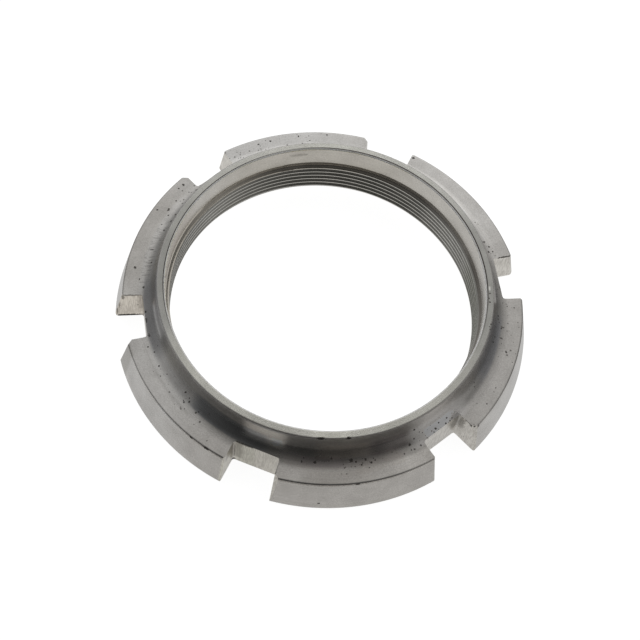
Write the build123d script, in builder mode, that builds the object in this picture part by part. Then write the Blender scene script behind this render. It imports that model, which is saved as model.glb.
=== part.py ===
"""Grooved nut: a turned steel ring nut with a fine thread, a collar and six spanner grooves.

Millimetres. The thread axis is Z, and the origin is the centre of the base, the seat face.
The first groove lies on +X.
"""

import os
from math import cos, radians, sin, sqrt, tan

from build123d import *

# Thread, left as a plain bore at its minor diameter
thread_diameter = 75.0
thread_pitch = 1.5
thread_minor_factor = 1.0825

# Bore above and below the thread
relief_clearance = 0.1
relief_depth = 5.55
lead_in_height = 1.5
base_mouth_chamfer = 1.75

# Collar on top of the flange
collar_wall = 2.1
collar_rise = 6.95
foot_fillet = 4.9

# Flange with its drafted side, cut into lugs by the grooves
flange_thickness = 9.95
side_draft = 12.3
base_rounding = 0.95

# Grooves: flat floors and slightly flared walls
groove_count = 6
floor_wall = 5.05
groove_depth = 5.1
groove_width = 11.15
groove_flare = 4.5
groove_corner_radius = 0.55

# Small edges
edge_break = 0.35
lug_corner_break = 0.4
lug_corner_facet = 1.15
facet_at_base = 0.15
cutter_margin = 1.0

# Sizes that follow from the ones above
total_height = flange_thickness + collar_rise
thread_minor_radius = (thread_diameter - thread_minor_factor * thread_pitch) / 2
relief_radius = thread_diameter / 2 + relief_clearance
relief_floor = total_height - relief_depth
thread_top = relief_floor - lead_in_height
collar_radius = relief_radius + collar_wall
groove_floor = relief_radius + floor_wall
flange_top_radius = groove_floor + groove_depth
flange_base_radius = flange_top_radius + flange_thickness * tan(radians(side_draft))
foot_radius = min(foot_fillet, collar_rise - 2 * edge_break)
groove_pitch = 360 / groove_count


def groove_half_width(distance):
    """Half the groove's width at a distance from the thread axis."""
    return groove_width / 2 + (distance - groove_floor) * tan(radians(groove_flare))


def lug_corner(radius, side):
    """Corner between a wall of the +X groove and a circle, on the side +1 or -1."""
    slope = tan(radians(groove_flare))
    at_axis = groove_half_width(0)
    root = sqrt(radius**2 * (1 + slope**2) - at_axis**2)
    along = (root - slope * at_axis) / (1 + slope**2)
    return along, side * groove_half_width(along)


def corner_triangle(radius, side, leg):
    """Triangle that takes a corner off a lug: a leg along the groove's wall, one along the rim."""
    x, y = lug_corner(radius, side)
    flare = radians(groove_flare)
    on_wall = (x - leg * cos(flare), y - side * leg * sin(flare))
    on_rim = (x - leg * y * side / radius, y + side * leg * x / radius)
    outside = (x + cutter_margin, y - side * cutter_margin)
    return on_wall, on_rim, outside


def corner_cutter(side, leg_at_top, leg_at_base):
    """Tool for one lug corner, standing beside the +X groove."""
    with BuildPart() as cutter:
        with BuildSketch(Plane.XY.offset(flange_thickness)):
            Polygon(*corner_triangle(flange_top_radius, side, leg_at_top), align=None)
        with BuildSketch(Plane.XY):
            Polygon(*corner_triangle(flange_base_radius, side, leg_at_base), align=None)
        loft(ruled=True)
    return cutter.part


def near(sketch, radius, height):
    """The section's corner nearest to a radius and a height."""
    return sketch.vertices().sort_by_distance((radius, height, 0))[0]


facet_cutter = corner_cutter(1, lug_corner_facet, facet_at_base)
left_break_cutter = corner_cutter(1, lug_corner_break, lug_corner_break)
right_break_cutter = corner_cutter(-1, lug_corner_break, lug_corner_break)

# Turned blank cut into lugs
with BuildPart() as grooved_nut:
    # The section, right of the axis, carried once round it
    with BuildSketch(Plane.XZ) as section:
        with BuildLine():
            Polyline(
                (thread_minor_radius, base_mouth_chamfer),
                (thread_minor_radius + base_mouth_chamfer, 0),
                (flange_base_radius, 0),
                (flange_top_radius, flange_thickness),
                (collar_radius, flange_thickness),
                (collar_radius, total_height),
                (relief_radius, total_height),
                (relief_radius, relief_floor),
                (thread_minor_radius, thread_top),
                close=True,
            )
        make_face()
        fillet(near(section, flange_base_radius, 0), radius=base_rounding)
        fillet(near(section, collar_radius, flange_thickness), radius=foot_radius)
        chamfer(near(section, flange_top_radius, flange_thickness), length=edge_break)
        chamfer(near(section, collar_radius, total_height), length=edge_break)
        chamfer(near(section, relief_radius, total_height), length=edge_break)
    revolve(axis=Axis.Z)

    # Grooves, cut right through the flange and the foot of the fillet
    groove_reach = flange_base_radius + cutter_margin
    floor_half = groove_half_width(groove_floor)
    reach_half = groove_half_width(groove_reach)
    with BuildSketch(Plane.XY.offset(-cutter_margin)) as groove_plan:
        with PolarLocations(0, groove_count):
            Polygon(
                (groove_floor, -floor_half),
                (groove_reach, -reach_half),
                (groove_reach, reach_half),
                (groove_floor, floor_half),
                align=None,
            )
        inner_corners = groove_plan.vertices().sort_by_distance((0, 0, 0))[: 2 * groove_count]
        fillet(inner_corners, radius=groove_corner_radius)
    extrude(amount=total_height + 2 * cutter_margin, mode=Mode.SUBTRACT)

    # One end of each lug has its corner taken off, except beside the groove on +X
    with PolarLocations(
        0,
        groove_count - 1,
        start_angle=groove_pitch,
        angular_range=360 - 2 * groove_pitch,
        endpoint=True,
    ):
        add(facet_cutter, mode=Mode.SUBTRACT)
    add(left_break_cutter, mode=Mode.SUBTRACT)
    with PolarLocations(0, groove_count):
        add(right_break_cutter, mode=Mode.SUBTRACT)

grooved_nut.part.label = "grooved_nut"

os.makedirs("parts", exist_ok=True)
export_step(grooved_nut.part, "parts/grooved_nut.step")
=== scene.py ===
"""Grooved nut: the turned and grooved steel body with its fine thread, its finishes and the studio.

Metres, in the frame of the solid: the thread axis is Z, the base lies on the floor and the first
groove is on +X. One closed mesh of numpy surfaces stands for the nut's solid and adds the thread.
"""

import logging
from dataclasses import dataclass
from enum import Enum
from math import atan2, cos, hypot, pi, radians, sin, tan
from typing import Any, ClassVar

import bmesh
import bpy
import numpy as np
from mathutils import Matrix, Vector


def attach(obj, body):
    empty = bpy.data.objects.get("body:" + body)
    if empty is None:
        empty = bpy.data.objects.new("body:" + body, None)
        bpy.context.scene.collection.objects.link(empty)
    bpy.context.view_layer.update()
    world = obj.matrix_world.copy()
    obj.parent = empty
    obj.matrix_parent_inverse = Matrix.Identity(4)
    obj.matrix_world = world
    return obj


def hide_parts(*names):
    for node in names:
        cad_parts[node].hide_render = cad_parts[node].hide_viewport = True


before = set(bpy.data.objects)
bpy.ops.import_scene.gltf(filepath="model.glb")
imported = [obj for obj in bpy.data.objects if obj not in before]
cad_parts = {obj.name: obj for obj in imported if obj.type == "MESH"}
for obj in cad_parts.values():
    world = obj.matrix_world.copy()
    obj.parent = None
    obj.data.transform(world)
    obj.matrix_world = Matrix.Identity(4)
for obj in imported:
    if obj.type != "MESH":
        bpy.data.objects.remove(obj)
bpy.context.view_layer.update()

MM = 0.001
NODE = "grooved_nut"
BODY = "root"
PIECE = "nut_with_thread"

Pair = tuple[float, float]
Colour = float | tuple[float, float, float]

log = logging.getLogger("grooved_nut")


class Finish(Enum):
    """Which of the nut's finishes a surface has; the value is its place in the mesh's material list."""

    TURNED = 0
    MILLED = 1
    BORE = 2
    FACED = 3


@dataclass(frozen=True)
class NutSizes:
    """Sizes of the nut in metres, the same as the solid's; the thread starts with a crest above +X."""

    thread_diameter: float = 75.0 * MM
    thread_pitch: float = 1.5 * MM
    thread_minor_factor: float = 1.0825
    thread_start: float = 0.45 * MM
    relief_clearance: float = 0.1 * MM
    relief_depth: float = 5.55 * MM
    lead_in_height: float = 1.5 * MM
    mouth_chamfer: float = 1.75 * MM
    collar_wall: float = 2.1 * MM
    collar_rise: float = 6.95 * MM
    foot_fillet: float = 4.9 * MM
    flange_thickness: float = 9.95 * MM
    side_draft: float = 12.3
    base_rounding: float = 0.95 * MM
    groove_count: int = 6
    floor_wall: float = 5.05 * MM
    groove_depth: float = 5.1 * MM
    groove_width: float = 11.15 * MM
    groove_flare: float = 4.5
    groove_corner_radius: float = 0.55 * MM
    edge_break: float = 0.35 * MM
    lug_corner_break: float = 0.4 * MM
    lug_corner_facet: float = 1.15 * MM
    facet_at_base: float = 0.15 * MM

    @property
    def height(self) -> float:
        """Height from the base to the collar's end."""
        return self.flange_thickness + self.collar_rise

    @property
    def minor_radius(self) -> float:
        """Radius of the thread's crests."""
        return (self.thread_diameter - self.thread_minor_factor * self.thread_pitch) / 2

    @property
    def relief_radius(self) -> float:
        """Radius of the plain bore above the thread."""
        return self.thread_diameter / 2 + self.relief_clearance

    @property
    def relief_floor(self) -> float:
        """Height of the plain bore's lower end."""
        return self.height - self.relief_depth

    @property
    def thread_top(self) -> float:
        """Height where the lead-in cone meets the thread's crests."""
        return self.relief_floor - self.lead_in_height

    @property
    def collar_radius(self) -> float:
        """Outer radius of the collar."""
        return self.relief_radius + self.collar_wall

    @property
    def groove_floor(self) -> float:
        """Distance of a groove's flat floor from the axis."""
        return self.relief_radius + self.floor_wall

    @property
    def top_radius(self) -> float:
        """Radius of the flange's sharp upper corner."""
        return self.groove_floor + self.groove_depth

    @property
    def base_radius(self) -> float:
        """Radius of the flange's sharp lower corner."""
        return self.top_radius + self.flange_thickness * tan(radians(self.side_draft))


@dataclass(frozen=True)
class MeshSteps:
    """How finely each stretch of the nut is divided."""

    lug_columns: int = 54
    floor_columns: int = 10
    corner_columns: int = 4
    rounding_rows: int = 3
    relief_rows: int = 6
    land_rows: int = 3
    collar_rows: int = 3
    fillet_rows_inside: int = 13
    fillet_rows_on_lug: int = 6
    flange_rows: int = 5
    side_rows: int = 6
    base_rounding_rows: int = 6
    base_rows: int = 5
    support: float = 0.12 * MM


def run(start: Pair, end: Pair, count: int, support: float = 0.0) -> np.ndarray:
    """Points on a straight run, evenly spaced, with one more close to each end.

    Args:
        start: Radius and height of the first point.
        end: Radius and height of the last point.
        count: How many even steps the run is cut into.
        support: Distance of the added points from the ends; none where it is 0.

    Returns:
        An array of radius and height, the ends included.
    """
    a, b = np.array(start), np.array(end)
    share = np.linspace(0.0, 1.0, count + 1)
    if support:
        near_end = support / np.linalg.norm(b - a)
        share = np.unique(np.concatenate([share, [near_end, 1.0 - near_end]]))
    return a + (b - a) * share[:, None]


def rounded(before: Pair, corner: Pair, after: Pair,
            setback: float, count: int) -> np.ndarray:
    """Arc that rounds a section's corner and touches both of its sides.

    The arc's centre lies on the corner's bisector, and its points turn evenly about that centre
    from the touching point on one side to the touching point on the other.

    Args:
        before: A point on the side that comes first.
        corner: The sharp corner.
        after: A point on the side that comes next.
        setback: Distance from the corner to the touching points.
        count: How many steps the arc is cut into.

    Returns:
        An array of radius and height along the arc, both touching points included.
    """
    apex = np.array(corner)
    to_before = np.array(before) - apex
    to_after = np.array(after) - apex
    to_before = to_before / np.linalg.norm(to_before)
    to_after = to_after / np.linalg.norm(to_after)
    half = np.arccos(np.clip(to_before @ to_after, -1.0, 1.0)) / 2
    bisector = (to_before + to_after) / np.linalg.norm(to_before + to_after)
    radius = setback * np.tan(half)
    centre = apex + bisector * radius / np.sin(half)
    first = (apex + to_before * setback - centre) / radius
    last = (apex + to_after * setback - centre) / radius
    sweep = np.arccos(np.clip(first @ last, -1.0, 1.0))
    turn = np.linspace(0.0, 1.0, count + 1)[:, None] * sweep
    return centre + radius * (np.sin(sweep - turn) * first + np.sin(turn) * last) / np.sin(sweep)


def chain(*stretches: np.ndarray) -> np.ndarray:
    """Joins stretches that share their end points into one list of points."""
    return np.concatenate([stretches[0]] + [stretch[1:] for stretch in stretches[1:]])


def ring_points(radius: np.ndarray, angle: np.ndarray, height: np.ndarray) -> np.ndarray:
    """Points in space from their radius, angle about the axis and height, as one array."""
    radius, angle, height = np.broadcast_arrays(radius, angle, height)
    return np.stack([radius * np.cos(angle), radius * np.sin(angle), height], axis=-1)


def patch(left: np.ndarray, right: np.ndarray, top: np.ndarray, bottom: np.ndarray) -> np.ndarray:
    """Grid that fills four edges: what opposite edges give is blended, less what the corners give twice.

    Args:
        left: Points of the edge at column 0, from top to bottom.
        right: Points of the edge at the last column, from top to bottom.
        top: Points of the edge at row 0, from left to right.
        bottom: Points of the edge at the last row, from left to right.

    Returns:
        An array of rows, columns and three coordinates.
    """
    u = np.linspace(0.0, 1.0, len(top))[None, :, None]
    v = np.linspace(0.0, 1.0, len(left))[:, None, None]
    across = (1 - u) * left[:, None] + u * right[:, None]
    down = (1 - v) * top[None] + v * bottom[None]
    corners = ((1 - u) * (1 - v) * top[0] + u * (1 - v) * top[-1]
               + (1 - u) * v * bottom[0] + u * v * bottom[-1])
    return across + down - corners


class SurfaceMesh:
    """Collects grids of points and joins them into one closed mesh."""

    def __init__(self) -> None:
        """Starts with no points and no faces."""
        self.points: list[np.ndarray] = []
        self.quads: list[np.ndarray] = []
        self.finishes: list[np.ndarray] = []
        self.count = 0

    def add(self, grid: np.ndarray, finish: Finish) -> None:
        """Adds one grid, a quad for each of its cells.

        Args:
            grid: An array of rows, columns and three coordinates.
            finish: The finish of all its faces.
        """
        rows, columns = grid.shape[:2]
        index = np.arange(rows * columns).reshape(rows, columns) + self.count
        quads = np.stack([index[:-1, :-1], index[1:, :-1], index[1:, 1:], index[:-1, 1:]], axis=-1)
        self.points.append(grid.reshape(-1, 3))
        self.quads.append(quads.reshape(-1, 4))
        self.finishes.append(np.full((rows - 1) * (columns - 1), finish.value))
        self.count += rows * columns

    def build(self, name: str, weld: float, sharp_from: float) -> bpy.types.Object:
        """Makes the object: the grids' shared edges are welded and its faces point outwards.

        Args:
            name: The object's name.
            weld: Distance within which two points are one.
            sharp_from: Angle between faces, in radians, from which an edge is sharp.

        Returns:
            The new object, at the origin.
        """
        points = np.concatenate(self.points)
        quads = np.concatenate(self.quads)
        mesh = bpy.data.meshes.new(name)
        mesh.vertices.add(len(points))
        mesh.vertices.foreach_set("co", points.astype(np.float32).ravel())
        mesh.loops.add(quads.size)
        mesh.loops.foreach_set("vertex_index", quads.ravel().astype(np.int32))
        mesh.polygons.add(len(quads))
        mesh.polygons.foreach_set("loop_start", np.arange(0, quads.size, 4, dtype=np.int32))
        mesh.polygons.foreach_set("material_index", np.concatenate(self.finishes).astype(np.int32))
        mesh.update(calc_edges=True)
        shape = bmesh.new()
        shape.from_mesh(mesh)
        bmesh.ops.remove_doubles(shape, verts=shape.verts, dist=weld)
        bmesh.ops.dissolve_degenerate(shape, edges=shape.edges, dist=weld / 10)
        bmesh.ops.recalc_face_normals(shape, faces=shape.faces)
        open_edges = sum(1 for edge in shape.edges if len(edge.link_faces) != 2)
        shape.to_mesh(mesh)
        shape.free()
        mesh.shade_smooth()
        mesh.set_sharp_from_angle(angle=sharp_from)
        log.info("%s: %d faces, %d edges without two faces", name, len(mesh.polygons), open_edges)
        piece = bpy.data.objects.new(name, mesh)
        bpy.context.scene.collection.objects.link(piece)
        return piece


@dataclass(frozen=True)
class LugEnd:
    """One end of a lug: a groove's wall and the corner that is taken off where it meets the rim.

    The outline is worked out beside the groove on +X, above it, and turned into place by angle.
    """

    sizes: NutSizes
    leg_at_top: float
    leg_at_base: float

    def on_wall(self, radius: np.ndarray) -> np.ndarray:
        """Where the groove's wall crosses a circle: the wall's line meets it once on this side."""
        slope = tan(radians(self.sizes.groove_flare))
        at_axis = self.sizes.groove_width / 2 - self.sizes.groove_floor * slope
        root = np.sqrt(radius**2 * (1 + slope**2) - at_axis**2)
        along = (root - slope * at_axis) / (1 + slope**2)
        return np.stack([along, at_axis + slope * along], axis=-1)

    def corner(self, radius: float, leg: float) -> tuple[np.ndarray, np.ndarray]:
        """The taken-off corner's two ends: a leg down the wall and a leg along the rim."""
        sharp = self.on_wall(np.array(radius))
        flare = radians(self.sizes.groove_flare)
        wall_end = sharp - leg * np.array([cos(flare), sin(flare)])
        rim_end = sharp + leg * np.array([-sharp[1], sharp[0]]) / radius
        return wall_end, rim_end

    def facet(self, height: np.ndarray) -> tuple[np.ndarray, np.ndarray]:
        """The facet's two ends at each height, on straight lines from the base to the flange's top."""
        top_wall, top_rim = self.corner(self.sizes.top_radius, self.leg_at_top)
        base_wall, base_rim = self.corner(self.sizes.base_radius, self.leg_at_base)
        share = np.clip(height / self.sizes.flange_thickness, 0.0, 1.0)[:, None]
        return base_wall + (top_wall - base_wall) * share, base_rim + (top_rim - base_rim) * share

    def edge(self, section: np.ndarray) -> np.ndarray:
        """The lug's edge at each point of the section: on the wall, or on the facet further out.

        A point on the facet lies where the line between its two ends crosses the point's circle.

        Args:
            section: An array of radius and height.

        Returns:
            An array of x and y beside the groove on +X.
        """
        radius, height = section[:, 0], section[:, 1]
        wall_end, rim_end = self.facet(height)
        line = rim_end - wall_end
        a = (line**2).sum(axis=1)
        b = (wall_end * line).sum(axis=1)
        c = (wall_end**2).sum(axis=1) - radius**2
        share = (-b + np.sqrt(np.maximum(b**2 - a * c, 0.0))) / a
        on_facet = wall_end + line * np.clip(share, 0.0, 1.0)[:, None]
        past_wall = radius > np.hypot(wall_end[:, 0], wall_end[:, 1])
        return np.where(past_wall[:, None], on_facet, self.on_wall(radius))

    def inner_edge(self, section: np.ndarray) -> np.ndarray:
        """The groove wall's outer edge at each point of the section, where the facet starts."""
        wall_end, _ = self.facet(section[:, 1])
        past_wall = section[:, 0] > np.hypot(wall_end[:, 0], wall_end[:, 1])
        return np.where(past_wall[:, None], wall_end, self.on_wall(section[:, 0]))

    def wall_end_radius(self) -> float:
        """Radius at which the facet starts on the flange's top."""
        wall_end, _ = self.corner(self.sizes.top_radius, self.leg_at_top)
        return hypot(*wall_end)


@dataclass(frozen=True)
class ThreadProfile:
    """The thread's form over one pitch, by places in pitches from a crest's middle.

    Half a pitch is a flat crest, a small rounding, a straight flank and a rounded root. The mesh has
    a row at each of the stations. Its rows start some turns low, to pass the base all round.
    """

    places: tuple[float, ...] = (0.0, 0.10, 0.15, 0.415, 0.46, 0.5)
    depths: tuple[float, ...] = (0.0, 0.01, 0.085, 0.93, 0.985, 1.0)
    stations: tuple[float, ...] = (0.0, 0.10, 0.15, 0.28, 0.415, 0.46, 0.54, 0.585, 0.72, 0.85, 0.90)
    turns_below: int = 2

    def depth(self, phase: np.ndarray) -> np.ndarray:
        """Depth as a share of the full one, from 0 at a crest to 1 at a root: read off the half pitch."""
        return np.interp(np.abs((phase + 0.5) % 1.0 - 0.5), self.places, self.depths)


class GroovedNut:
    """The nut's surface, joined from rings, lugs and grooves around the thread axis."""

    profile = ThreadProfile()

    def __init__(self, sizes: NutSizes, steps: MeshSteps) -> None:
        """Works out the section and the outline that all patches share.

        Args:
            sizes: The nut's sizes.
            steps: How finely it is divided.
        """
        self.sizes = sizes
        self.steps = steps
        self.plain_end = LugEnd(sizes, sizes.lug_corner_break, sizes.lug_corner_break)
        self.facet_end = LugEnd(sizes, sizes.lug_corner_facet, sizes.facet_at_base)
        self.pitch = 2 * pi / sizes.groove_count
        self.groove_plan = self.groove_outline()
        self.wall_start = hypot(*self.groove_plan[-1])
        self.wall_angle = atan2(self.groove_plan[-1][1], self.groove_plan[-1][0])
        self.angles, self.reach = self.columns()

    def groove_outline(self) -> np.ndarray:
        """Outline of the groove on +X between its walls: the flat floor with a rounded corner at each end.

        A corner's centre is one radius from the floor and from the wall, and its points turn evenly
        from the floor's direction to the wall's.

        Returns:
            An array of x and y from the lower wall to the upper one.
        """
        sizes = self.sizes
        flare = radians(sizes.groove_flare)
        radius = sizes.groove_corner_radius
        centre_y = sizes.groove_width / 2 - radius * (1 - sin(flare)) / cos(flare)
        centre = np.array([sizes.groove_floor + radius, centre_y])
        turn = np.linspace(0.0, pi / 2 - flare, self.steps.corner_columns + 1)
        corner = centre + radius * np.stack([-np.cos(turn), np.sin(turn)], axis=-1)
        floor_y = np.linspace(-centre_y, centre_y, self.steps.floor_columns + 1)
        floor = np.stack([np.full(len(floor_y), sizes.groove_floor), floor_y], axis=-1)
        mirrored = corner[::-1] * np.array([1.0, -1.0])
        return chain(mirrored, floor, corner)

    def columns(self) -> tuple[np.ndarray, np.ndarray]:
        """Angle of every column around the nut, and how far the ring inside the grooves reaches there.

        Returns:
            The angles, with the first one again a full turn later, and the reach at each.
        """
        plan_angle = np.arctan2(self.groove_plan[:, 1], self.groove_plan[:, 0])
        plan_reach = np.hypot(self.groove_plan[:, 0], self.groove_plan[:, 1])
        lug_angle = np.linspace(self.wall_angle, self.pitch - self.wall_angle, self.steps.lug_columns + 1)
        step_angle = np.concatenate([plan_angle[:-1], lug_angle[:-1]])
        step_reach = np.concatenate([plan_reach[:-1], np.full(self.steps.lug_columns, self.wall_start)])
        turns = np.arange(self.sizes.groove_count) * self.pitch
        angles = (turns[:, None] + step_angle).ravel()
        reach = np.tile(step_reach, self.sizes.groove_count)
        return np.append(angles, angles[0] + 2 * pi), np.append(reach, reach[0])

    def fillet_turn(self, radius: Any) -> Any:
        """How far round the collar's foot fillet a radius lies, from 0 at the collar to a quarter turn."""
        centre = self.sizes.collar_radius + self.sizes.foot_fillet
        return np.arccos(np.clip((centre - radius) / self.sizes.foot_fillet, 0.0, 1.0))

    def fillet_point(self, turn: Any) -> tuple[Any, Any]:
        """Radius and height on the foot fillet, a hollow quarter circle, at a turn round it."""
        fillet = self.sizes.foot_fillet
        radius = self.sizes.collar_radius + fillet * (1 - np.cos(turn))
        height = self.sizes.flange_thickness + fillet * (1 - np.sin(turn))
        return radius, height

    def collar_section(self) -> tuple[np.ndarray, int, int]:
        """Section from the plain bore's top over the collar's end to where the fillet starts.

        Returns:
            The section's points, and the rows at which the flat end starts and stops.
        """
        sizes, steps = self.sizes, self.steps
        bore_top = (sizes.relief_radius, sizes.height)
        rim = (sizes.collar_radius, sizes.height)
        foot = (sizes.collar_radius, sizes.flange_thickness + sizes.foot_fillet)
        inner = rounded((sizes.relief_radius, 0.0), bore_top, rim, sizes.edge_break, steps.rounding_rows)
        outer = rounded(bore_top, rim, foot, sizes.edge_break, steps.rounding_rows)
        land = run(tuple(inner[-1]), tuple(outer[0]), steps.land_rows, steps.support)
        wall = run(tuple(outer[-1]), foot, steps.collar_rows, steps.support)
        return chain(inner, land, outer, wall), len(inner) - 1, len(inner) + len(land) - 2

    def top_section(self) -> np.ndarray:
        """Section over a lug from the groove wall's start to the outermost place where a facet starts."""
        sizes, steps = self.sizes, self.steps
        turn = np.linspace(self.fillet_turn(self.wall_start), pi / 2, steps.fillet_rows_on_lug + 1)
        fillet = np.stack(self.fillet_point(turn), axis=-1)
        top = sizes.flange_thickness
        long_facet = (self.facet_end.wall_end_radius(), top)
        short_facet = (self.plain_end.wall_end_radius(), top)
        flat = run(tuple(fillet[-1]), long_facet, steps.flange_rows, steps.support)
        return chain(fillet, flat, run(long_facet, short_facet, 1))

    def side_section(self) -> np.ndarray:
        """Section from there over the flange's edge, down the drafted side and round onto the base."""
        sizes, steps = self.sizes, self.steps
        top_corner = (sizes.top_radius, sizes.flange_thickness)
        base_corner = (sizes.base_radius, 0.0)
        start = (self.plain_end.wall_end_radius(), sizes.flange_thickness)
        axis = (0.0, sizes.flange_thickness)
        upper = rounded(axis, top_corner, base_corner, sizes.edge_break, steps.rounding_rows)
        setback = sizes.base_rounding / tan(radians(90 - sizes.side_draft) / 2)
        lower = rounded(top_corner, base_corner, (0.0, 0.0), setback, steps.base_rounding_rows)
        side = run(tuple(upper[-1]), tuple(lower[0]), steps.side_rows, steps.support)
        return chain(run(start, tuple(upper[0]), 1), upper, side, lower)

    def bore_grid(self) -> np.ndarray:
        """Grid of the threaded bore, from the plain bore's lower end to the base.

        Its rows follow the helix: a row climbs one pitch in one turn from the thread's start above
        +X, and is held within the bore's two ends. The radius is the largest of the thread's, the
        lead-in cone's and the mouth chamfer's.

        Returns:
            An array of rows, columns and three coordinates.
        """
        sizes = self.sizes
        turns_above = int(np.ceil(sizes.relief_floor / sizes.thread_pitch)) + 1
        turns = np.arange(-self.profile.turns_below, turns_above)
        row = (turns[:, None] + np.array(self.profile.stations)).ravel()[::-1, None]
        helix = sizes.thread_start + row * sizes.thread_pitch + sizes.thread_pitch * self.angles / (2 * pi)
        height = np.clip(helix, 0.0, sizes.relief_floor)
        full_depth = sizes.thread_diameter / 2 - sizes.minor_radius
        phase = (height - sizes.thread_start) / sizes.thread_pitch - self.angles / (2 * pi)
        thread = sizes.minor_radius + full_depth * self.profile.depth(phase)
        cone_slope = (sizes.relief_radius - sizes.minor_radius) / sizes.lead_in_height
        cone = sizes.minor_radius + (height - sizes.thread_top) * cone_slope
        mouth = sizes.minor_radius + sizes.mouth_chamfer - height
        radius = np.maximum(thread, np.maximum(cone, mouth))
        return ring_points(radius, self.angles, height)

    def add_bore(self, mesh: SurfaceMesh) -> None:
        """Adds the plain bore and the threaded bore below it."""
        sizes = self.sizes
        top = (sizes.relief_radius, sizes.height - sizes.edge_break)
        bottom = (sizes.relief_radius, sizes.relief_floor)
        wall = run(top, bottom, self.steps.relief_rows, self.steps.support)
        mesh.add(ring_points(wall[:, :1], self.angles, wall[:, 1:]), Finish.TURNED)
        mesh.add(self.bore_grid(), Finish.BORE)

    def add_rings(self, mesh: SurfaceMesh) -> None:
        """Adds the collar with its fillet as far as the grooves, and the base inside them."""
        sizes, steps = self.sizes, self.steps
        collar, face_row, wall_row = self.collar_section()
        grid = ring_points(collar[:, :1], self.angles, collar[:, 1:])
        mesh.add(grid[: face_row + 1], Finish.TURNED)
        mesh.add(grid[face_row : wall_row + 1], Finish.FACED)
        mesh.add(grid[wall_row:], Finish.TURNED)
        share = np.linspace(0.0, 1.0, steps.fillet_rows_inside + 1)[:, None]
        radius, height = self.fillet_point(share * self.fillet_turn(self.reach))
        mesh.add(ring_points(radius, self.angles, height), Finish.TURNED)
        mouth = sizes.minor_radius + sizes.mouth_chamfer
        share = np.linspace(0.0, 1.0, steps.base_rows + 1)[:, None]
        mesh.add(ring_points(mouth + share * (self.reach - mouth), self.angles, 0.0), Finish.TURNED)

    def lug_section(self) -> tuple[np.ndarray, int, int]:
        """Whole section over a lug, with the rows at which its side and its base start."""
        top = self.top_section()
        side = self.side_section()
        base = run(tuple(side[-1]), (self.wall_start, 0.0), len(top) - 1)
        return chain(top, side, base), len(top) - 1, len(top) + len(side) - 2

    def end_kinds(self, lug: int) -> tuple[LugEnd, LugEnd]:
        """The kinds of a lug's two ends, anticlockwise; only the end beside the first groove has no facet."""
        return (self.plain_end if lug == 0 else self.facet_end), self.plain_end

    def add_lug(self, mesh: SurfaceMesh, lug: int) -> None:
        """Adds one lug's outside, between its two edges, and the facets at its corners.

        Between the edges the angle changes evenly from one to the other in every row.

        Args:
            mesh: The mesh to add to.
            lug: The lug's number, that of the groove before it.
        """
        section, side_row, base_row = self.lug_section()
        kinds = self.end_kinds(lug)
        limits = []
        for sign, kind in zip((1, -1), kinds):
            edge = kind.edge(section)
            middle = (lug + (sign < 0)) * self.pitch
            limits.append(middle + sign * np.arctan2(edge[:, 1], edge[:, 0]))
            inner = kind.inner_edge(section)
            rows = slice(side_row, base_row + 1)
            facet = np.stack([
                ring_points(np.hypot(edge[rows, 0], edge[rows, 1]), limits[-1][rows], section[rows, 1]),
                self.turned(inner[rows], section[rows, 1], middle, sign),
            ], axis=1)
            mesh.add(facet, Finish.MILLED)
        share = np.linspace(0.0, 1.0, self.steps.lug_columns + 1)
        angle = limits[0][:, None] + (limits[1] - limits[0])[:, None] * share
        mesh.add(ring_points(section[:, :1], angle, section[:, 1:]), Finish.TURNED)

    def turned(self, plan: np.ndarray, height: np.ndarray, middle: float, sign: int) -> np.ndarray:
        """Points of an outline beside the groove on +X, turned to another groove.

        Args:
            plan: An array of x and y.
            height: Height of each point.
            middle: Angle of the groove's middle, in radians.
            sign: 1 for the groove's anticlockwise side and -1 for the other, a mirror image.

        Returns:
            An array of points.
        """
        angle = middle + sign * np.arctan2(plan[:, 1], plan[:, 0])
        return ring_points(np.hypot(plan[:, 0], plan[:, 1]), angle, height)

    def add_groove(self, mesh: SurfaceMesh, groove: int) -> None:
        """Adds one groove: its floor with the rounded corners, and its two walls.

        Args:
            mesh: The mesh to add to.
            groove: The groove's number, from 0 on +X.
        """
        section, side_row, base_row = self.lug_section()
        middle = groove * self.pitch
        down = np.linspace(1.0, 0.0, base_row - side_row + 1)
        reach = np.hypot(self.groove_plan[:, 0], self.groove_plan[:, 1])
        _, height = self.fillet_point(self.fillet_turn(reach))
        angle = middle + np.arctan2(self.groove_plan[:, 1], self.groove_plan[:, 0])
        mesh.add(ring_points(reach, angle, down[:, None] * height), Finish.MILLED)
        kinds = {1: self.end_kinds(groove)[0], -1: self.plain_end}
        for sign, kind in kinds.items():
            inner = kind.inner_edge(section)
            top_plan = kind.on_wall(np.minimum(section[: side_row + 1, 0], kind.wall_end_radius()))
            top = self.turned(top_plan, section[: side_row + 1, 1], middle, sign)
            outer_rows = slice(side_row, base_row + 1)
            outer = self.turned(inner[outer_rows], section[outer_rows, 1], middle, sign)
            base = self.turned(kind.on_wall(section[base_row:, 0]), section[base_row:, 1], middle, sign)[::-1]
            start = np.repeat(kind.on_wall(np.array([self.wall_start])), len(down), axis=0)
            left = self.turned(start, down * height[-1], middle, sign)
            mesh.add(patch(left, outer, top, base), Finish.MILLED)

    def build(self) -> bpy.types.Object:
        """Builds the whole nut as one closed mesh that stands for the solid.

        Returns:
            The nut's object.
        """
        mesh = SurfaceMesh()
        self.add_bore(mesh)
        self.add_rings(mesh)
        for number in range(self.sizes.groove_count):
            self.add_lug(mesh, number)
            self.add_groove(mesh, number)
        piece = mesh.build(PIECE, weld=0.0005 * MM, sharp_from=radians(32))
        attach(piece, BODY)
        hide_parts(NODE)
        return piece


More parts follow.
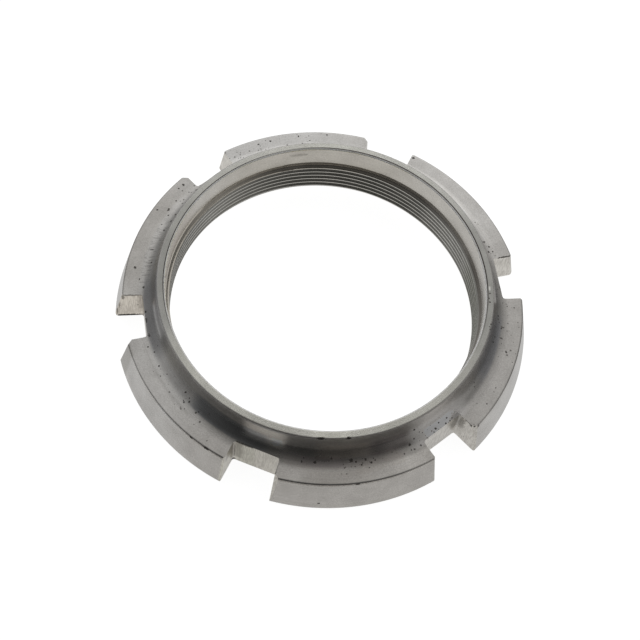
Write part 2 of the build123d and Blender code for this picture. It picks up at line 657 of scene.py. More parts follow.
class Value:
    """A shader socket that takes part in Python arithmetic; each operation adds a Math node."""

    def __init__(self, graph: "Graph", socket: bpy.types.NodeSocket) -> None:
        """Wraps a socket of a graph's node."""
        self.graph = graph
        self.socket = socket

    def exponential(self) -> "Value":
        """The exponential."""
        return self.math("EXPONENT", self)

    def math(self, operation: str, *values: Any) -> "Value":
        """A Math node of that operation on these values."""
        return self.graph.node("ShaderNodeMath", {"operation": operation}, dict(enumerate(values))).value(0)

    def __add__(self, other: Any) -> "Value":
        """Sum."""
        return self.math("ADD", self, other)

    __radd__ = __add__

    def __sub__(self, other: Any) -> "Value":
        """Difference."""
        return self.math("SUBTRACT", self, other)

    def __rsub__(self, other: Any) -> "Value":
        """Difference, the other way round."""
        return self.math("SUBTRACT", other, self)

    def __mul__(self, other: Any) -> "Value":
        """Product."""
        return self.math("MULTIPLY", self, other)

    __rmul__ = __mul__

    def __truediv__(self, other: Any) -> "Value":
        """Quotient."""
        return self.math("DIVIDE", self, other)

    def __pow__(self, other: Any) -> "Value":
        """Power."""
        return self.math("POWER", self, other)

    def least(self, other: Any) -> "Value":
        """The smaller of the two."""
        return self.math("MINIMUM", self, other)

    def most(self, other: Any) -> "Value":
        """The larger of the two."""
        return self.math("MAXIMUM", self, other)

    def step(self, low: float, high: float) -> "Value":
        """0 below low, 1 above high and a smooth rise between them."""
        settings = {"interpolation_type": "SMOOTHSTEP"}
        sockets = {"Value": self, "From Min": low, "From Max": high}
        return self.graph.node("ShaderNodeMapRange", settings, sockets).value("Result")


class Placed:
    """A node that has been placed, with its outputs as values."""

    def __init__(self, graph: "Graph", node: bpy.types.Node) -> None:
        """Keeps the node and its graph."""
        self.graph = graph
        self.node = node

    def value(self, output: int | str) -> Value:
        """One of the node's outputs."""
        return Value(self.graph, self.node.outputs[output])


class Graph:
    """The node tree of a material or of the world, emptied, and its nodes."""

    def __init__(self, tree: bpy.types.NodeTree, output: str) -> None:
        """Empties a tree and gives it an output node of that type."""
        self.tree = tree
        self.tree.nodes.clear()
        self.output = self.node(output, {}, {})

    def show(self, shader: "Placed") -> None:
        """Links a shader to the output."""
        self.tree.links.new(shader.node.outputs[0], self.output.node.inputs["Surface"])

    def node(self, kind: str, settings: dict[str, Any], sockets: dict[Any, Any]) -> Placed:
        """Adds a node.

        Args:
            kind: The node's type.
            settings: Its settings, which are set first.
            sockets: Values or links of its input sockets, by name or number.

        Returns:
            The placed node.
        """
        node = self.tree.nodes.new(kind)
        for name, setting in settings.items():
            setattr(node, name, setting)
        for name, value in sockets.items():
            if isinstance(value, Value):
                self.tree.links.new(value.socket, node.inputs[name])
            else:
                node.inputs[name].default_value = value
        return Placed(self, node)

    def mix(self, share: Any, low: Any, high: Any, blend: str = "MIX") -> Value:
        """Colour between two colours, by a share, or another way of blending them."""
        settings = {"data_type": "RGBA", "blend_type": blend}
        sockets = {0: share, 6: self.colour(low), 7: self.colour(high)}
        return self.node("ShaderNodeMix", settings, sockets).value(2)

    @staticmethod
    def colour(colour: Value | Colour) -> Any:
        """A colour socket's value: a link as it is; three numbers, or one for a grey, get an alpha of 1."""
        if isinstance(colour, Value):
            return colour
        return (*(colour if isinstance(colour, tuple) else (colour,) * 3), 1.0)

    def vector(self, x: Any, y: Any, z: Any) -> Value:
        """A vector from its three parts."""
        return self.node("ShaderNodeCombineXYZ", {}, {0: x, 1: y, 2: z}).value(0)

    def vector_math(self, operation: str, *vectors: Any, output: str = "Vector") -> Value:
        """A Vector Math node of that operation on these vectors: its vector, or its number."""
        settings = {"operation": operation}
        return self.node("ShaderNodeVectorMath", settings, dict(enumerate(vectors))).value(output)

    def noise(self, vector: Value, scale: float, detail: float, turn: Any = None) -> Value:
        """Noise between 0 and 1; a fourth coordinate makes it four-dimensional."""
        settings = {"noise_dimensions": "3D" if turn is None else "4D"}
        sockets = {"Vector": vector, "Scale": scale, "Detail": detail}
        if turn is not None:
            sockets["W"] = turn
        return self.node("ShaderNodeTexNoise", settings, sockets).value("Fac")


def new_material(name: str) -> tuple[bpy.types.Material, Graph]:
    """A new material of that name and the graph of its emptied node tree."""
    material = bpy.data.materials.new(name)
    material.use_nodes = True
    return material, Graph(material.node_tree, "ShaderNodeOutputMaterial")


class Place:
    """Where a point of the nut lies: its coordinates, its radius and its direction from the axis."""

    def __init__(self, graph: Graph) -> None:
        """Reads the object's coordinates in a graph."""
        self.object = graph.node("ShaderNodeTexCoord", {}, {}).value("Object")
        parts = graph.node("ShaderNodeSeparateXYZ", {}, {0: self.object})
        self.x, self.y, self.z = (parts.value(number) for number in range(3))
        self.radius = (self.x * self.x + self.y * self.y) ** 0.5
        self.east = self.x / self.radius
        self.north = self.y / self.radius


@dataclass(frozen=True)
class Zone:
    """A part of the nut's surface: a sector about the axis, between two radii and between two heights.

    The sector is given by its middle and half its width in degrees, the rest in millimetres. A limit
    that isn't given is open. A sector's mask is whole over the core share of its width.
    """

    angle: float = 0.0
    spread: float = 180.0
    radii: Pair | None = None
    heights: Pair | None = None
    soft: float = 0.4
    core: ClassVar[float] = 0.45

    def mask(self, graph: Graph, place: Place) -> Any:
        """1 inside the zone, 0 outside and a smooth change between them."""
        mask: Any = 1.0
        if self.spread < 180.0:
            cosine = place.east * cos(radians(self.angle)) + place.north * sin(radians(self.angle))
            mask = cosine.step(cos(radians(self.spread)), cos(radians(self.spread * self.core)))
        soft = self.soft * MM
        for value, limits in ((place.radius, self.radii), (place.z, self.heights)):
            if limits is not None:
                low, high = (limit * MM for limit in limits)
                mask = value.step(low - soft, low + soft) * (1 - value.step(high - soft, high + soft)) * mask
        return mask


@dataclass(frozen=True)
class Tint:
    """A zone whose colour is multiplied and whose roughness is raised, with a clouded border. Tints serve
    both for stains and for painted light and shade.
    """

    zone: Zone
    colour: Colour
    rougher: float = 0.0
    clouded: float = 0.0


@dataclass(frozen=True)
class Freckles:
    """A zone sprinkled with small pits; the share is that of the cells which have one."""

    zone: Zone
    share: float


@dataclass(frozen=True)
class Speck:
    """One dark mark: a pit, a burr or a stain, by its place and its sizes out, round and up.

    Lengths are in millimetres. The mark is whole as far as the first of its edges and gone from the
    second, in half sizes.
    """

    angle: float
    radius: float
    height: float
    sizes: tuple[float, float, float]
    dark: float
    edges: ClassVar[Pair] = (0.75, 1.2)

    def mask(self, graph: Graph, place: Place, ragged: Value) -> Value:
        """How dark the mark makes a point: its distance in half sizes, made ragged, is cut off past 1."""
        turn = radians(self.angle)
        radius = self.radius * MM
        centre = (radius * cos(turn), radius * sin(turn), self.height * MM)
        half_sizes = tuple(size / 2 * MM for size in self.sizes)
        if len(set(half_sizes)) == 1:
            far = graph.vector_math("DISTANCE", place.object, centre, output="Value") / half_sizes[0]
        else:
            sockets = {"Vector": place.object, "Location": centre, "Rotation": (0.0, 0.0, turn),
                       "Scale": half_sizes}
            local = graph.node("ShaderNodeMapping", {"vector_type": "TEXTURE"}, sockets).value(0)
            far = graph.vector_math("LENGTH", local, output="Value")
        return (1 - (far + ragged).step(*self.edges)) * self.dark


def pit(angle: float, radius: float, height: float, width: float, dark: float = 0.85) -> Speck:
    """A round pit, by its place and its width."""
    return Speck(angle, radius, height, (width,) * 3, dark)


def mark(angle: float, radius: float, height: float, out: float, along: float, up: float,
         dark: float = 0.8) -> Speck:
    """A long mark, by its place and its sizes out, round and up."""
    return Speck(angle, radius, height, (out, along, up), dark)


@dataclass(frozen=True)
class Steel:
    """A finish of bare steel: its colour, its gloss, the marks that the tool left and its wear. Its tints
    brighten or darken zones: some are stains, and most are painted light and shade that stand in for the
    reflections round the nut.

    Turning lines follow noise that changes fast with radius and height and slowly round the nut;
    upright lines follow noise that changes fast along X and Y and slowly with height. Grain is fine
    noise and clouds are wide noise. Concentric marks tilt the surface in or out by a random amount
    for each radius. Ticks are short dark marks across the turning lines. The values that all
    finishes share come last; two that belong together are a least value and a range, or the ends
    of a smooth step.
    """

    name: str
    colour: tuple[float, float, float]
    dark_colour: tuple[float, float, float]
    roughness: float
    drawn_out: float
    line_width: float = 0.12 * MM
    line_share: float = 0.35
    grain_size: float = 0.28 * MM
    grain_share: float = 0.6
    cloud_share: float = 0.7
    upright: bool = False
    tilt: float = 0.0
    tints: tuple[Tint, ...] = ()
    freckles: tuple[Freckles, ...] = ()
    specks: tuple[Speck, ...] = ()
    ticks: Zone | None = None
    dirt: ClassVar[Colour] = (0.075, 0.066, 0.06)
    dirt_rougher: ClassVar[float] = 0.3
    gloss_change: ClassVar[float] = 0.1
    line_stretch: ClassVar[float] = 8.0
    line_drift: ClassVar[float] = 1.5
    line_depth: ClassVar[float] = 0.0006 * MM
    cloud_size: ClassVar[float] = 5 * MM
    border: ClassVar[Pair] = (0.15, 0.85)
    border_start: ClassVar[Pair] = (0.0, 0.2)
    tick_scale: ClassVar[float] = 95.0
    tick_length: ClassVar[float] = 1.5 * MM
    tick_edges: ClassVar[Pair] = (0.5, 0.66)
    tick_share: ClassVar[float] = 0.45
    tick_grey: ClassVar[float] = 0.4
    pit_cell: ClassVar[float] = 0.75 * MM
    pit_pick: ClassVar[Pair] = (0.0, 0.02)
    pit_reach: ClassVar[Pair] = (0.1, 0.26)
    pit_edge: ClassVar[Pair] = (0.0, 0.07)
    pit_dark: ClassVar[Pair] = (0.5, 0.5)
    ragged: ClassVar[float] = 1.6
    rings_per_metre: ClassVar[float] = 1e6

    def lines(self, graph: Graph, place: Place) -> Value:
        """The tool's lines, round the axis or upright."""
        width = self.line_width
        if self.upright:
            across = graph.vector(place.x / width, place.y / width, place.z / (self.line_stretch * width))
            return graph.noise(across, 1.0, 2.0)
        across = graph.vector(place.radius / width, place.z / width, place.east * self.line_drift)
        return graph.noise(across, 1.0, 2.0, place.north * self.line_drift)

    def sprinkled(self, graph: Graph, place: Place) -> Value:
        """Small pits: cells of space are picked at random, and near its middle a picked one is dark."""
        sockets = {"Vector": place.object, "Scale": 1 / self.pit_cell}
        cells = graph.node("ShaderNodeTexVoronoi", {}, sockets)
        chance = graph.node("ShaderNodeSeparateColor", {}, {0: cells.value("Color")})
        share: Any = 0.0
        for freckles in self.freckles:
            share = freckles.zone.mask(graph, place) * freckles.share + share
        least, more = self.pit_reach
        paler, darker = self.pit_dark
        picked = (chance.value(0) + share - 1.0).step(*self.pit_pick)
        inside = (chance.value(1) * more + least - cells.value("Distance")).step(*self.pit_edge)
        return picked * inside * (chance.value(2) * darker + paler)

    def normal(self, graph: Graph, place: Place, lines: Value) -> Value:
        """The surface's direction with the tool's marks in it."""
        if not self.tilt:
            sockets = {"Strength": 1.0, "Distance": self.line_depth, "Height": lines}
            return graph.node("ShaderNodeBump", {}, sockets).value("Normal")
        sockets = {"W": place.radius * self.rings_per_metre}
        random = graph.node("ShaderNodeTexWhiteNoise", {"noise_dimensions": "1D"}, sockets).value("Value")
        slope = (random - 0.5) * (2 * tan(radians(self.tilt)))
        plain = graph.node("ShaderNodeNewGeometry", {}, {}).value("Normal")
        tilted = graph.vector_math("ADD", plain, graph.vector(place.east * slope, place.north * slope, 0.0))
        return graph.vector_math("NORMALIZE", tilted)

    def build(self) -> bpy.types.Material:
        """Builds the material.

        Returns:
            The finished material.
        """
        material, graph = new_material(self.name)
        place = Place(graph)
        lines = self.lines(graph, place)
        grain = graph.noise(place.object, 1 / self.grain_size, 1.0)
        clouds = graph.noise(place.object, 1 / self.cloud_size, 4.0)
        tone = (lines - 0.5) * (self.line_share * 2) + (grain - 0.5) * (self.grain_share * 2) + 0.5
        tone = (clouds - 0.5) * (self.cloud_share * 2) + tone
        colour = graph.mix(tone, self.dark_colour, self.colour)
        rough = (lines - 0.5) * self.gloss_change + (clouds - 0.5) * self.gloss_change + self.roughness
        if self.ticks is not None:
            east, north = place.east * self.tick_scale, place.north * self.tick_scale
            around = graph.vector(east, north, place.radius / self.tick_length)
            ticks = graph.noise(around, 1.0, 1.0).step(*self.tick_edges) * self.ticks.mask(graph, place)
            colour = graph.mix(ticks * self.tick_share, colour, self.tick_grey, "MULTIPLY")
        # Tints: stains, and painted light and shade in zones made brighter or darker.
        for tint in self.tints:
            mask = tint.zone.mask(graph, place)
            if tint.clouded:
                uneven = ((clouds - 0.5) * tint.clouded + mask).step(*self.border)
                mask = uneven * mask.step(*self.border_start)
            colour = graph.mix(mask, colour, tint.colour, "MULTIPLY")
            if tint.rougher:
                rough = mask * tint.rougher + rough
        dark: Any = self.sprinkled(graph, place) if self.freckles else None
        ragged = (grain - 0.5) * self.ragged
        for speck in self.specks:
            mark = speck.mask(graph, place, ragged)
            dark = mark if dark is None else dark.most(mark)
        if dark is not None:
            colour = graph.mix(dark, colour, self.dirt)
            rough = dark * self.dirt_rougher + rough
        shader = graph.node("ShaderNodeBsdfPrincipled", {}, {
            "Base Color": colour, "Metallic": 1.0, "Roughness": rough,
            "Normal": self.normal(graph, place, lines),
            "Anisotropic": self.drawn_out, "Anisotropic Rotation": 0.25,
        })
        graph.show(shader)
        return material


# Angles in degrees, lengths in millimetres. These marks lie on edges that two finishes share.
LUG_EDGE_MARKS = (
    mark(7.1, 46.1, 9.95, 4.4, 0.7, 0.8, 0.9), mark(247.3, 45.5, 9.9, 4.5, 0.28, 0.35, 0.6),
    mark(307.2, 45.2, 9.95, 4.8, 0.35, 0.4, 0.6), pit(307.2, 46.6, 9.7, 0.6, 0.85),
    pit(308, 47.1, 9.6, 0.7, 0.9), pit(308.8, 47.7, 9.5, 0.65, 0.9),
)
TURNED_STEEL = Steel(
    name="turned_steel", colour=(0.744, 0.726, 0.698), dark_colour=(0.523, 0.507, 0.483),
    roughness=0.24, drawn_out=0.4, ticks=Zone(157, 17, (41.6, 43.9)),
    tints=(
        # Painted light and shade: apart from the stains (the clouded zones and the bluish zones at 333°, 229°
        # and 181°), these tints brighten or darken zones of the turned surfaces so that they come out as
        # light or dark as the reflections round the nut.
        Tint(Zone(radii=(37.0, 37.75), soft=0.05), (0.90, 0.885, 0.85)),
        Tint(Zone(166, 32, (37.0, 37.75), soft=0.05), (0.89, 0.85, 0.82), 0.06),
        # Painted highlight on the mouth's edge rounding.
        Tint(Zone(radii=(37.61, 37.87), heights=(16.58, 17.2), soft=0.03), (2.3, 2.2, 2.06), 0.5),
        Tint(Zone(85, 45, (37.0, 37.75), soft=0.05), (0.91, 0.90, 0.875)),
        Tint(Zone(radii=(39.3, 40.3), heights=(12.6, 17.5), soft=0.5), 1.0, 0.28),
        # Painted shade and light by direction round the nut: darker at the near side, at the right and at
        # 152°, lighter at the far side and towards 17° to 30°.
        Tint(Zone(262, 55, (39.0, 60)), (0.91, 0.895, 0.875)),
        Tint(Zone(335, 50, (39.0, 48)), (0.92, 0.91, 0.90)),
        Tint(Zone(152, 26, (44.0, 48)), (0.90, 0.89, 0.875)),
        Tint(Zone(98, 26, (43.0, 48)), (1.05, 1.06, 1.07)),
        Tint(Zone(30, 20, (42.0, 47.5)), 1.08),
        Tint(Zone(17, 20, (40.3, 43.5)), 1.22, 0.08),
        Tint(Zone(359, 10, (39.6, 41.4), (9.5, 15.5)), (0.80, 0.80, 0.81)),
        # Painted highlight along the flange's top edge, which thins its dark edge line.
        Tint(Zone(245, 62, (47.4, 48.2), (9.3, 9.8), soft=0.05), 1.6, 0.4),
        Tint(Zone(333, 15, (39.9, 42.6)), (0.90, 0.93, 1.0)),
        # Painted light: a brighter patch on the fillet at 204°.
        Tint(Zone(204, 17, (41.0, 43.6), soft=0.6), (1.36, 1.37, 1.38), 0.14),
        Tint(Zone(229, 18, (39.9, 42.6), (9.0, 13.6)), (0.63, 0.66, 0.70), 0.0, 0.4),
        Tint(Zone(181, 18, (39.5, 42.8)), (0.67, 0.68, 0.71)),
        Tint(Zone(189.5, 3.5, (47.3, 52)), (0.74, 0.735, 0.715)),
        # Painted light: brighter patches on the collar's foot, the fillet and the flange where their
        # reflections are bright.
        Tint(Zone(194, 12, (39.2, 41.0), (11.5, 17)), (1.1, 1.1, 1.08)),
        Tint(Zone(301, 9, (39.0, 40.4), (11.8, 16.2)), (1.28, 1.28, 1.29)),
        Tint(Zone(300, 7, (41.1, 42.6)), 1.55),
        Tint(Zone(241, 8, (40.0, 41.0), (11.2, 13.4)), 1.3),
        Tint(Zone(38, 15, (42.3, 43.6)), 1.28),
        Tint(Zone(142, 34, (42.3, 43.6)), 1.2),
        Tint(Zone(207, 10, (44.6, 47.6)), 1.1),
        Tint(Zone(287, 10, (44.4, 47.6)), 1.16),
        Tint(Zone(241, 9, (39.3, 41.2), (11.2, 16)), (1.62, 1.60, 1.57), 0.08),
        Tint(Zone(282, 8.5, (39.8, 42.2)), (0.76, 0.73, 0.74)),
        Tint(Zone(300, 13.5, (40.0, 43.6), soft=0.6), (1.58, 1.6, 1.64), 0.28),
        Tint(Zone(267, 11, (39.8, 41.8)), (1.3, 1.24, 1.18), 0.05),
        Tint(Zone(266, 26, (41.6, 44.0), soft=0.7), (0.97, 0.95, 0.95), 0.08, 1.6),
        Tint(Zone(261, 9, (41.6, 43.4), soft=0.5), (0.88, 0.86, 0.88), 0.0, 3.0),
        Tint(Zone(277, 9, (42.4, 45.4), soft=0.5), (0.94, 0.93, 0.92), 0.0, 3.0),
        Tint(Zone(265, 12, (44.4, 47.6)), (0.88, 0.87, 0.86)),
    ),
    freckles=(
        Freckles(Zone(131, 8, (41.0, 45.5)), 0.6), Freckles(Zone(99, 20, (43.2, 47.4)), 0.6),
        Freckles(Zone(274, 26, (41.6, 44.4)), 0.4), Freckles(Zone(270, 6, (43.2, 45.8)), 1.0),
        Freckles(Zone(278, 10, (42.4, 44.2)), 0.7), Freckles(Zone(185, 6, (42.0, 43.2)), 0.7),
        Freckles(Zone(300, 9, (40.6, 43.4)), 0.9), Freckles(Zone(352, 16, (41.2, 44.4)), 0.6),
        Freckles(Zone(14, 9, (41.6, 44.4)), 0.5), Freckles(Zone(205, 22, (41.0, 45.0)), 0.4),
        Freckles(Zone(320, 30, (41.0, 46.5)), 0.18), Freckles(Zone(166, 14, (37.0, 38.2)), 0.6),
        Freckles(Zone(346, 18, (43.5, 47.5)), 0.3),
    ),
    specks=LUG_EDGE_MARKS + (
        mark(140, 44.3, 9.97, 0.5, 0.95, 0.6), pit(130, 46.0, 9.95, 0.65), pit(132, 46.1, 9.95, 0.4),
        pit(136, 44.3, 9.97, 0.4), pit(136, 42.4, 10.4, 0.45), pit(141, 41.8, 10.8, 0.5),
        pit(142, 43.4, 10.1, 0.45), pit(142, 46.6, 9.95, 0.45), pit(144, 41.8, 10.8, 0.5),
        pit(148, 42.1, 10.6, 0.5), mark(156, 42.8, 10.3, 1.1, 0.35, 0.6), pit(161, 41.9, 10.7, 0.5),
        pit(163.2, 45.6, 9.95, 0.7), pit(167, 44.0, 10.0, 0.45), pit(170, 42.8, 10.3, 0.6),
        pit(179, 42.4, 10.5, 0.6), pit(146, 43.5, 10.1, 0.3), pit(128, 43.9, 10.0, 0.35),
        pit(129, 42.5, 10.4, 0.45), pit(131, 43.5, 10.1, 0.35), pit(113, 47.2, 9.95, 0.8),
        pit(52, 46.8, 9.95, 0.7), pit(98, 46.2, 9.95, 0.55), pit(102, 46.2, 9.95, 0.5),
        pit(89, 46.5, 9.95, 0.5), pit(80, 46.9, 9.95, 0.45), mark(342, 42.9, 10.2, 1.2, 0.4, 0.6, 0.7),
        pit(334, 44.9, 9.95, 0.5), pit(12, 43.3, 10.1, 0.55), pit(269, 42.3, 10.5, 0.95),
        pit(273.5, 42.5, 10.4, 0.6), pit(275, 43.4, 10.1, 0.5), pit(263, 41.7, 10.8, 0.5),
        pit(258, 42.6, 10.35, 0.6), pit(254, 42.7, 10.3, 0.45), pit(288, 42.3, 10.5, 0.65),
        pit(291, 40.3, 12.6, 0.5), mark(259, 39.6, 16.8, 0.6, 1.9, 0.6, 0.9),
        mark(268, 39.6, 16.8, 0.6, 1.2, 0.6, 0.9), mark(270, 47.8, 9.6, 0.5, 1.2, 0.5, 0.7),
        mark(222, 47.8, 9.8, 0.5, 0.9, 0.5, 0.85), mark(227, 47.75, 9.75, 0.6, 1.6, 0.6, 0.85),
        mark(260.5, 41.8, 10.8, 1.3, 4.2, 1.5, 0.42), pit(226, 46.2, 9.95, 0.4, 0.5),
        pit(211, 41.4, 11.1, 0.55), pit(214, 42.1, 10.6, 0.5), pit(14, 42.7, 10.3, 0.6),
        pit(10, 42.6, 10.4, 0.5), pit(10, 43.7, 10.0, 0.4), mark(182, 42.5, 10.3, 0.6, 1.3, 0.9, 0.7),
        mark(187.5, 42.5, 10.3, 0.6, 1.3, 0.9, 0.7), pit(260, 49.3, 2.7, 0.55), pit(298, 42.0, 10.65, 0.6),
        pit(303, 41.6, 10.85, 0.5), mark(91, 37.6, 14.9, 1.0, 4.4, 1.1, 0.28),
        mark(338, 42.9, 10.2, 1.5, 0.45, 0.6, 0.65), pit(335, 45.8, 9.95, 0.5, 0.6),
        pit(333, 45.3, 9.95, 0.5, 0.6), pit(337, 39.5, 16.8, 0.45), pit(335, 39.6, 16.8, 0.4),
        mark(172.7, 45.3, 9.95, 5.5, 0.4, 0.5, 0.55), mark(236.5, 42.8, 10.3, 0.6, 5.0, 0.7, 0.75),
        mark(305.5, 42.9, 9.8, 2.6, 3.2, 4.0, 0.36),
    ),
)
MILLED_STEEL = Steel(
    name="milled_steel", colour=(0.793, 0.765, 0.707), dark_colour=(0.562, 0.535, 0.488),
    roughness=0.32, drawn_out=0.0, line_width=0.26 * MM, line_share=1.8, grain_share=0.5, cloud_share=1.0,
    upright=True,
    tints=(
        # Painted light and shade: these tints brighten or darken zones of the groove walls and facets so that
        # they come out as light or dark as their reflections.
        Tint(Zone(173.5, 6, (43.0, 52)), (1.10, 1.06, 1.01)),
        Tint(Zone(173.5, 5, (42.0, 44.1), (3.5, 11)), (0.70, 0.69, 0.68)),
        Tint(Zone(240, 10), (0.93, 0.92, 0.89)),
        Tint(Zone(188.5, 4, (46.0, 52)), (0.77, 0.76, 0.75)),
        # Painted reflection on the groove wall at 233°: a darker upper inner triangle over a lighter lower
        # outer part and facet.
        Tint(Zone(233.2, 3, (42.0, 44.4), (2.0, 10.5)), (0.66, 0.65, 0.63)),
        Tint(Zone(233.2, 3, (44.4, 46.7), (6.0, 10.5)), (0.66, 0.65, 0.63)),
        Tint(Zone(232.4, 4, (44.6, 52), (-1, 5.2)), (1.04, 1.05, 1.03)),
        Tint(Zone(232.4, 4, (46.8, 52), (5.2, 9.0)), (1.08, 1.09, 1.07)),
        Tint(Zone(236.5, 4, (42.2, 43.0)), (0.87, 0.88, 0.85)),
    ),
    specks=LUG_EDGE_MARKS + (
        mark(172.7, 45.3, 9.95, 5.5, 0.4, 0.6, 0.6), mark(172.8, 46.4, 0.3, 7.2, 0.7, 1.0, 1.0),
        mark(172.9, 47.7, 9.1, 1.1, 0.9, 1.8, 0.55), mark(172.9, 48.6, 5.6, 0.5, 0.8, 3.6, 0.5),
        mark(172.9, 49.2, 2.8, 0.5, 0.8, 3.6, 0.6), pit(173, 44.3, 5.3, 0.75),
        mark(173.2, 43.6, 6.0, 0.35, 0.7, 6.5, 0.35), mark(236.5, 42.8, 10.2, 0.6, 5.0, 0.8, 0.75),
        pit(233, 43.3, 0.6, 1.0), mark(306.4, 43.4, 7.5, 3.4, 3.6, 7.5, 0.42),
        mark(232.9, 42.9, 5.0, 0.35, 0.35, 9.0, 0.55), pit(307, 44.6, 6.0, 0.6, 0.5),
        pit(307, 45.8, 2.4, 0.5, 0.6),
    ),
)
BORE_STEEL = Steel(
    name="bore_steel", colour=(0.623, 0.612, 0.572), dark_colour=(0.482, 0.472, 0.436),
    roughness=0.26, drawn_out=0.4, line_width=0.15 * MM,
    tints=(
        # The lead-in cone is a little warmer; the other tints are painted shade and light, darkening or
        # brightening the threaded bore and its lead-in cone by sector round the nut.
        Tint(Zone(heights=(9.85, 12), soft=0.1), (1.04, 0.99, 0.94)),
        Tint(Zone(80, 55), (0.88, 0.87, 0.85)),
        Tint(Zone(8, 58, heights=(9.85, 12), soft=0.1), (0.70, 0.71, 0.74)),
        Tint(Zone(347, 30, heights=(9.85, 12), soft=0.1), (0.46, 0.45, 0.44)),
        Tint(Zone(353, 20, heights=(-1, 9.6), soft=0.2), (0.72, 0.73, 0.69)),
        Tint(Zone(29, 11, heights=(-1, 9.6), soft=0.2), 1.13),
    ),
)
FACED_STEEL = Steel(
    name="faced_steel", colour=(0.542, 0.537, 0.505), dark_colour=(0.402, 0.397, 0.369),
    roughness=0.2, drawn_out=0.0, line_share=0.4, grain_share=0.2, tilt=15.0,
    tints=(
        # Painted light and shade on the collar's end face: sectors brightened or darkened, brightest towards
        # the near and far sides, standing in for the highlight that its concentric marks throw.
        Tint(Zone(262, 78), (1.28, 1.27, 1.235)),
        Tint(Zone(88, 78), (1.22, 1.22, 1.21)),
        Tint(Zone(172, 24), 0.93),
        Tint(Zone(148, 16), 0.97),
        Tint(Zone(84, 28), (1.10, 1.10, 1.09)),
        Tint(Zone(34, 20), 1.11),
        # Painted shade: a dark line along the land's inner edge.
        Tint(Zone(35, 76, (37.9, 38.26), soft=0.04), (0.16, 0.15, 0.145)),
        Tint(Zone(144, 58, (37.9, 38.17), soft=0.04), (0.16, 0.15, 0.145)),
        Tint(Zone(122, 17), 1.08),
        Tint(Zone(203, 13), (1.13, 1.13, 1.12)),
        Tint(Zone(243, 11), 0.90),
        Tint(Zone(262, 8), (1.18, 1.18, 1.17)),
        # Painted glint on the land at 351°.
        Tint(Zone(351, 1.0, (38.35, 38.75), soft=0.15), 1.8),
    ),
    specks=(
        pit(336, 39.4, 16.9, 0.45), pit(349, 38.6, 16.9, 0.4), mark(347, 38.4, 16.9, 0.3, 0.5, 0.4),
        pit(345.5, 38.6, 16.9, 0.4), mark(8.5, 37.8, 16.9, 0.25, 2.2, 0.4, 0.6),
        mark(259, 39.4, 16.85, 0.4, 1.9, 0.6, 0.9), mark(268, 39.4, 16.85, 0.4, 1.2, 0.6, 0.9),
    ),
)


@dataclass(frozen=True)
class PhotoCamera:
    """The photograph's camera, as fitted to the nut's edges."""

    image_width: float = 640.0
    focal_pixels: float = 1494.4
    sensor_width: float = 36.0
    centre_x: float = 326.58
    centre_y: float = 282.64
    distance: float = 349.6 * MM
    azimuth: float = -106.995
    elevation: float = 60.303
    roll: float = 8.983

    def build(self, target: Vector) -> bpy.types.Object:
        """Places the camera around the collar's end face.

        Args:
            target: The point that the camera's axis meets.

        Returns:
            The camera's object.
        """
        azimuth, elevation, roll = (radians(a) for a in (self.azimuth, self.elevation, self.roll))
        out = Vector((cos(azimuth) * cos(elevation), sin(azimuth) * cos(elevation), sin(elevation)))
        level = Vector((-sin(azimuth), cos(azimuth), 0.0))
        upright = out.cross(level)
        right = level * cos(roll) + upright * sin(roll)
        up = upright * cos(roll) - level * sin(roll)
        data = bpy.data.cameras.new("photo_camera")
        data.sensor_width = self.sensor_width
        data.lens = self.focal_pixels / self.image_width * self.sensor_width
        data.shift_x = 0.5 - self.centre_x / self.image_width
        data.shift_y = self.centre_y / self.image_width - 0.5
        data.clip_start = 1 * MM
        camera = bpy.data.objects.new("photo_camera", data)
        turn = Matrix((right, up, out)).transposed().to_4x4()
        camera.matrix_world = Matrix.Translation(target + out * self.distance) @ turn
        bpy.context.scene.collection.objects.link(camera)
        bpy.context.scene.camera = camera
        return camera


@dataclass(frozen=True)
class Glow:
    """A soft patch of light in the studio's surroundings."""

    azimuth: float
    elevation: float
    sharpness: float
    strength: float

    def direction(self) -> Vector:
        """Unit vector towards the patch's middle."""
        azimuth, elevation = radians(self.azimuth), radians(self.elevation)
        return Vector((cos(azimuth) * cos(elevation), sin(azimuth) * cos(elevation), sin(elevation)))


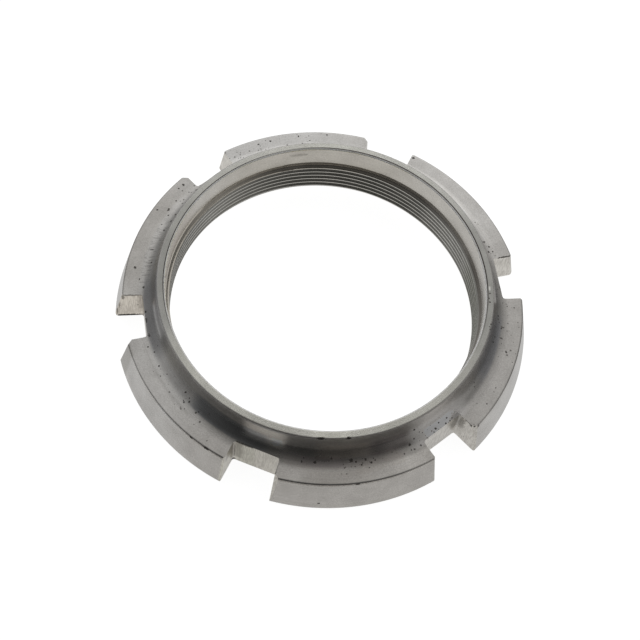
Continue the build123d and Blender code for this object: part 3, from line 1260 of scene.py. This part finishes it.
@dataclass(frozen=True)
class Studio:
    """The pale floor and the soft surroundings: bright behind the nut, dark behind the camera."""

    floor_size: float = 1.6
    room_strength: float = 0.028
    glows: tuple[Glow, ...] = (
        Glow(azimuth=77, elevation=33, sharpness=2.9, strength=0.70),
        Glow(azimuth=71, elevation=39, sharpness=28, strength=0.46),
        Glow(azimuth=151, elevation=62, sharpness=26, strength=0.30),
        Glow(azimuth=-8, elevation=58, sharpness=20, strength=0.32),
        Glow(azimuth=-35, elevation=9, sharpness=12.7, strength=0.41),
        Glow(azimuth=170, elevation=4, sharpness=6.5, strength=0.21),
    )
    back_azimuth: float = 73.0
    floor_in_metal: float = 0.66
    floor_slope: float = 1.9
    floor_limits: Pair = (0.5, 0.88)
    floor_reach: Pair = (64.0 * MM, 92.0 * MM)
    paper_white: float = 0.93
    paper_grey: float = 0.42

    def build_floor(self) -> bpy.types.Object:
        """A flat white floor under the nut.

        The camera sees it lit from within and darkened a little by the nut's shadow. The metal sees
        it a little darker, darker still towards the front, and further off it sees the room instead.

        Returns:
            The floor's object.
        """
        half = self.floor_size / 2
        mesh = bpy.data.meshes.new("floor")
        corners = [(-half, -half, 0.0), (half, -half, 0.0), (half, half, 0.0), (-half, half, 0.0)]
        mesh.from_pydata(corners, [], [(0, 1, 2, 3)])
        floor = bpy.data.objects.new("floor", mesh)
        bpy.context.scene.collection.objects.link(floor)
        material, graph = new_material("pale_floor")
        place = Place(graph)
        path = graph.node("ShaderNodeLightPath", {}, {})
        back = radians(self.back_azimuth)
        towards_back = place.x * cos(back) + place.y * sin(back)
        least, most = self.floor_limits
        in_metal = (self.floor_in_metal + towards_back * self.floor_slope).least(most).most(least)
        glow = graph.node("ShaderNodeEmission", {}, {"Strength": in_metal})
        clear = graph.node("ShaderNodeBsdfTransparent", {}, {})
        far = place.radius.step(*self.floor_reach)
        in_metal = graph.node("ShaderNodeMixShader", {}, {0: far, 1: glow.value(0), 2: clear.value(0)})
        lit = graph.node("ShaderNodeEmission", {}, {"Strength": self.paper_white})
        paper = graph.node("ShaderNodeBsdfDiffuse", {}, {"Color": graph.colour(self.paper_grey)})
        seen = graph.node("ShaderNodeAddShader", {}, {0: lit.value(0), 1: paper.value(0)})
        sockets = {0: path.value("Is Camera Ray"), 1: in_metal.value(0), 2: seen.value(0)}
        graph.show(graph.node("ShaderNodeMixShader", {}, sockets))
        mesh.materials.append(material)
        return floor

    def build_room(self) -> None:
        """Surroundings with a few soft patches of light, and white where the camera looks past the floor.

        A patch's light falls off with the exponential of the cosine to its middle.
        """
        world = bpy.data.worlds.new("studio")
        world.use_nodes = True
        graph = Graph(world.node_tree, "ShaderNodeOutputWorld")
        direction = graph.node("ShaderNodeTexCoord", {}, {}).value("Generated")
        light = self.room_strength
        for glow in self.glows:
            cosine = graph.vector_math("DOT_PRODUCT", direction, tuple(glow.direction()), output="Value")
            light = ((cosine - 1.0) * glow.sharpness).exponential() * glow.strength + light
        path = graph.node("ShaderNodeLightPath", {}, {})
        to_camera = path.value("Is Camera Ray")
        strength = to_camera + (1 - to_camera) * light
        sockets = {"Color": graph.colour(1.0), "Strength": strength}
        graph.show(graph.node("ShaderNodeBackground", {}, sockets))
        bpy.context.scene.world = world

    def build(self) -> None:
        """Builds the floor and the surroundings."""
        self.build_floor()
        self.build_room()


def main() -> None:
    """Builds the camera, the nut, its finishes and the studio."""
    logging.basicConfig(level=logging.INFO, format="%(name)s: %(message)s")
    sizes = NutSizes()
    bpy.context.scene.view_settings.view_transform = "Standard"
    PhotoCamera().build(Vector((0.0, 0.0, sizes.height)))
    nut = GroovedNut(sizes, MeshSteps()).build()
    for finish in (TURNED_STEEL, MILLED_STEEL, BORE_STEEL, FACED_STEEL):
        nut.data.materials.append(finish.build())
    log.info("finishes: %s", [material.name for material in nut.data.materials])
    Studio().build()


if __name__ == "__main__":
    main()
